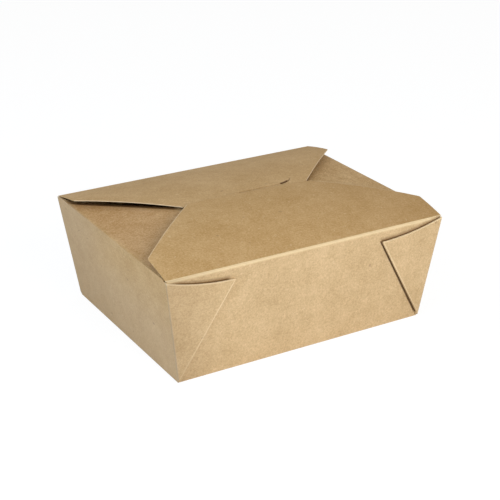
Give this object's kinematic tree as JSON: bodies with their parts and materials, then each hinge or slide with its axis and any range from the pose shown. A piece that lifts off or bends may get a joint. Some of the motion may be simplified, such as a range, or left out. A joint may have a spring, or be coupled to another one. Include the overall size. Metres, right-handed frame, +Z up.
{
  "type": "folded board takeaway box",
  "caption": "Tapered rectangular food box folded from one sheet of kraft board, with web corners and a bowed flap lid locked by a tab in a slot.",
  "frame": {"origin": "middle of the underside of the base", "axes": "+X along the long walls, +Z up, front long wall with the locking flap's fold towards -Y"},
  "size_m": [0.1706, 0.1368, 0.0703],
  "materials": {
    "kraft_board": "matt unbleached kraft board with fine fibres",
    "kraft_board_lid": "matt unbleached kraft board with fine fibres"
  },
  "bodies": {
    "box": {"carton": "kraft_board"},
    "lid": {"front_flap": "kraft_board_lid"}
  },
  "joints": [
    {"name": "front_flap_fold", "type": "hinge", "parent": "box", "child": "lid", "pos_m": [0, -0.06721, 0.062], "axis": [1, 0, 0], "range_deg": [0, 180]}
  ]
}
